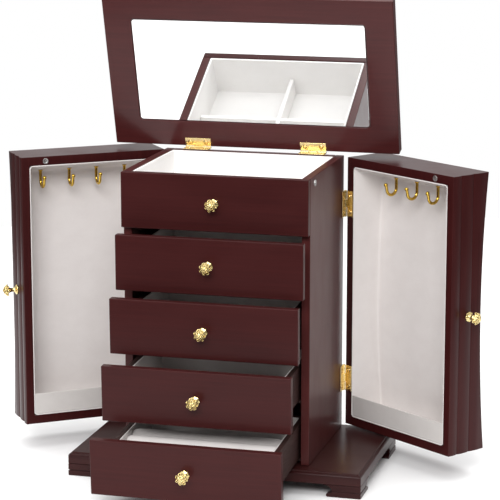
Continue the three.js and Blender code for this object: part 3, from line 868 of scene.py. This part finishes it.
def card_tray(low, high, corner=1.6 * MM):
    """An open tray of velvet-covered card: walls CARD thick, soft inside corners, folded rim."""
    shape = box_shape(low, high)
    bmesh.ops.delete(shape, geom=[f for f in shape.faces if f.normal.z > 0.9], context="FACES_ONLY")
    upright = [e for e in shape.edges if abs(e.verts[0].co.z - e.verts[1].co.z) > MM]
    ease(shape, upright, corner, 4)
    floor_edges = [e for e in shape.edges if e.is_manifold and e.calc_face_angle(0) > 1
                   and all(v.co.z < low[2] + 0.01 * MM for v in e.verts)]
    ease(shape, floor_edges, 0.5 * MM, 2)
    bmesh.ops.solidify(shape, geom=shape.faces, thickness=CARD)
    bmesh.ops.recalc_face_normals(shape, faces=shape.faces)
    ease(shape, sharp_edges(shape, 60), 0.4 * MM, 3)
    return shape


def drawer_linings():
    for drawer in DRAWERS:
        low, high = shut_box(f"{drawer}_box")
        gap = 0.1 * MM
        inside_low = low + Vector((BOX_WALL + gap, BOX_WALL + gap, BOX_BOTTOM + gap))
        inside_high = high - Vector((BOX_WALL + gap, BOX_WALL + gap, 0.5 * MM))
        shape = card_tray(inside_low, inside_high)
        finished(f"{drawer}_lining", shape, drawer, LINING)


ROLL_COUNT = 4


def ring_rolls():
    """Foam bars under velvet, side by side, so that rings are held in the slits between them."""
    low, high = shut_box("ring_roll_insert")
    pitch = (high.y - low.y) / ROLL_COUNT
    radius = pitch / 2 - 0.12 * MM
    crown = high.z - radius
    steps = 30
    for i in range(ROLL_COUNT):
        centre = low.y + pitch * (i + 0.5)
        shape = bmesh.new()
        ring = bmesh.ops.create_circle(
            shape, cap_ends=False, segments=32, radius=radius,
            matrix=Matrix.Translation((low.x, centre, crown)) @ Matrix.Rotation(math.radians(90), 4, "Y"),
        )["verts"]
        edges = joined_to(ring, "link_edges")
        run = (high.x - low.x) / steps
        for _ in range(steps):
            grown = bmesh.ops.extrude_edge_only(shape, edges=edges)["geom"]
            edges = [g for g in grown if isinstance(g, bmesh.types.BMEdge)]
            verts = [g for g in grown if isinstance(g, bmesh.types.BMVert)]
            bmesh.ops.translate(shape, verts=verts, vec=(run, 0, 0))
        for v in shape.verts:  # below the crown the bar goes straight down to the tray's floor
            y, z = v.co.y - centre, v.co.z - crown
            if z < 0:
                squareness = 1 / max(abs(y / radius) ** 6 + abs(z / radius) ** 6, 1e-9) ** (1 / 6)
                v.co.y = centre + y * squareness
                v.co.z = crown + z * squareness * (crown - low.z) / radius
        for end, way in ((low.x, 1), (high.x, -1)):
            rim = [e for e in shape.edges if e.is_boundary and abs(e.verts[0].co.x - end) < MM]
            middle = Vector((end, centre, (low.z + high.z) / 2))
            for shrink, inward in ((0.90, 0.0), (0.6, -0.25 * MM), (0.25, 0.1 * MM)):
                grown = bmesh.ops.extrude_edge_only(shape, edges=rim)["geom"]
                rim = [g for g in grown if isinstance(g, bmesh.types.BMEdge)]
                verts = [g for g in grown if isinstance(g, bmesh.types.BMVert)]
                scale = Matrix.Translation(middle) @ Matrix.Scale(shrink, 4) @ Matrix.Translation(-middle)
                bmesh.ops.transform(shape, matrix=scale, verts=verts)
                for v in verts:
                    v.co.x = end + way * inward
            bmesh.ops.contextual_create(shape, geom=rim)
        bmesh.ops.recalc_face_normals(shape, faces=shape.faces)
        for v in shape.verts:
            from_end = min(v.co.x - low.x, high.x - v.co.x) / MM
            tuck = math.exp(-max(from_end, 0) / 3.2)
            ripple = noise.noise(Vector((v.co.x * 90, i * 7.3, v.co.z * 160)))
            fold = noise.noise(Vector((i * 3.1, v.co.y * 420, v.co.z * 420)))
            if v.co.z > low.z + 3 * MM:
                v.co.z -= (1.2 * tuck + 0.22 * abs(ripple)) * MM + 0.3 * MM * tuck * fold
        roll = finished(f"ring_roll_{i + 1}", shape, "drawer_4", LINING, even=False)
        soft = roll.modifiers.new("soft_surface", "SUBSURF")
        soft.levels = 1
        soft.render_levels = 1
        if i == 0:
            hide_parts("ring_roll_insert")


def compartment():
    for node in ("compartment_lining", "compartment_divider"):
        shape = copy_of(node)
        ease(shape, sharp_edges(shape), 0.6 * MM, 3)
        finished(f"{node}_velvet", shape, "cabinet", WHITE_LINING_PAINTED_LIGHT, [node])


def lid_mirror():
    """Mirror plate with a narrow polished bevel round its face."""
    shape = copy_of("lid_mirror")
    low, _ = shut_box("lid_mirror")
    face_edges = [e for e in sharp_edges(shape, 60) if all(v.co.z < low.z + 0.1 * MM for v in e.verts)]
    ease(shape, face_edges, 0.7 * MM, 1)
    finished("lid_mirror_glass", shape, "lid", MIRROR, ["lid_mirror"], sharp=20)


# ---------- door catches ----------


def catch_disc(name, body, face, outward, radius, proud, replaced=()):
    """A small dished nickel disc with a rivet in its middle."""
    shape = bmesh.new()
    r, h = radius, proud
    profile = [(0, 0), (r, 0), (r, h * 0.7), (r * 0.93, h), (r * 0.72, h), (r * 0.62, h * 0.72),
               (r * 0.3, h * 0.72), (r * 0.26, h * 0.95), (r * 0.14, h * 1.0), (0, h * 1.0)]
    tip = Matrix.Rotation(math.radians(90) * outward, 4, "Y")
    turned(shape, profile, 40, Matrix.Translation(face) @ tip)
    finished(name, shape, body, NICKEL, replaced, sharp=40)


def door_catches():
    for door, side in SIDES.items():
        low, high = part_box(f"door_magnet_{door}")
        place = (low + high) / 2
        base = low.x if side > 0 else high.x
        catch_disc(f"door_magnet_{door}_disc", "cabinet", (base, place.y, place.z), side,
                   (high.z - low.z) / 2, high.x - low.x, [f"door_magnet_{door}"])
        case_low, case_high = shut_box(f"{door}_door_case")
        inner = case_low.x if side > 0 else case_high.x
        catch_disc(f"{door}_door_catch_disc", f"{door}_door", (inner + side * 0.05 * MM, place.y, place.z),
                   -side, 2.8 * MM, 0.7 * MM)


# ---------- making it all ----------
carcass()
base_board()
feet()
for door, side in SIDES.items():
    door_case(door, side)
    door_lining(door, side)
    door_pocket(door)
for node in sorted(frame["nodes"]):
    if node.endswith("_knob"):
        knob(node)
    if "_hook_" in node:
        hook(node, SIDES[node.split("_")[0]])
hinges()
drawer_linings()
ring_rolls()
compartment()
lid_mirror()
door_catches()

# ---------- floor, light and camera ----------


FLOOR_RADIUS = 0.95
FLOOR_CENTRE = (0, 0.4, 0)


def pale_floor():
    shape = bmesh.new()
    bmesh.ops.create_circle(
        shape, cap_ends=True, segments=96, radius=FLOOR_RADIUS, matrix=Matrix.Translation(FLOOR_CENTRE),
    )
    mesh = bpy.data.meshes.new("floor")
    shape.to_mesh(mesh)
    shape.free()
    floor = bpy.data.objects.new("floor", mesh)
    bpy.context.scene.collection.objects.link(floor)
    material, _, shader = new_finish("pale_floor")
    shader.inputs["Base Color"].default_value = (0.94, 0.94, 0.94, 1)
    shader.inputs["Roughness"].default_value = 0.9
    shader.inputs["Specular IOR Level"].default_value = 0.1
    mesh.materials.append(material)


def softbox(name, place, aim, size, watts):
    light = bpy.data.lights.new(name, "AREA")
    light.shape = "RECTANGLE"
    light.size, light.size_y = size
    light.energy = watts
    obj = bpy.data.objects.new(name, light)
    obj.location = place
    obj.rotation_euler = (Vector(aim) - Vector(place)).to_track_quat("-Z", "Y").to_euler()
    obj.visible_camera = False
    bpy.context.scene.collection.objects.link(obj)


def grey(level):
    return (level, level, level)


ROOM_FRONT = (  # height of the direction, brightness: from the floor's rim to overhead
    (0.0, grey(0.10)), (0.08, grey(0.30)), (0.45, grey(0.60)), (1.0, grey(1.4)),
)
ROOM_BACK = (
    (0.0, grey(0.14)), (0.08, grey(0.85)), (0.45, grey(0.85)), (1.0, grey(1.4)),
)


def studio():
    world = bpy.data.worlds.new("studio")
    world.use_nodes = True
    tree = world.node_tree
    background = tree.nodes["Background"]
    direction = add(tree, "ShaderNodeTexCoord").outputs["Generated"]
    way = add(tree, "ShaderNodeSeparateXYZ", {"Vector": direction})
    front = ramp(tree, way.outputs["Z"], *ROOM_FRONT)
    back = ramp(tree, way.outputs["Z"], *ROOM_BACK)
    behind = add(tree, "ShaderNodeMapRange", {
        "Value": way.outputs["Y"], "From Min": -0.2, "From Max": 0.5, "To Min": 0.0, "To Max": 1.0,
    }).outputs["Result"]
    room = blended(tree, behind, front, back)
    seen = add(tree, "ShaderNodeLightPath").outputs["Is Camera Ray"]
    tree.links.new(blended(tree, seen, room, grey(1)), background.inputs["Color"])
    bpy.context.scene.world = world
    softbox("overhead", (0, 0.3, 1.7), (0, 0.15, 0), (1.8, 1.6), 12)
    softbox("high_front", (0.3, -2.3, 1.65), (0, 0.05, 0.15), (1.7, 1.0), 60)
    softbox("front_left", (-1.5, -1.9, 1.3), (0, 0, 0.2), (0.7, 0.9), 4)
    bpy.context.scene.view_settings.view_transform = "Standard"


CAMERA_PLACE = (0.5511, -1.9491, 0.6422)
CAMERA_YAW = -0.2639
CAMERA_PITCH = -0.2057
CAMERA_LENS = 158.09


def camera():
    data = bpy.data.cameras.new("camera")
    data.lens = CAMERA_LENS
    data.sensor_width = 36
    data.clip_start = 0.05
    obj = bpy.data.objects.new("camera", data)
    forward = Vector((
        math.sin(CAMERA_YAW) * math.cos(CAMERA_PITCH),
        math.cos(CAMERA_YAW) * math.cos(CAMERA_PITCH),
        math.sin(CAMERA_PITCH),
    ))
    obj.location = CAMERA_PLACE
    obj.rotation_euler = forward.to_track_quat("-Z", "Y").to_euler()
    bpy.context.scene.collection.objects.link(obj)
    bpy.context.scene.camera = obj


pale_floor()
studio()
camera()
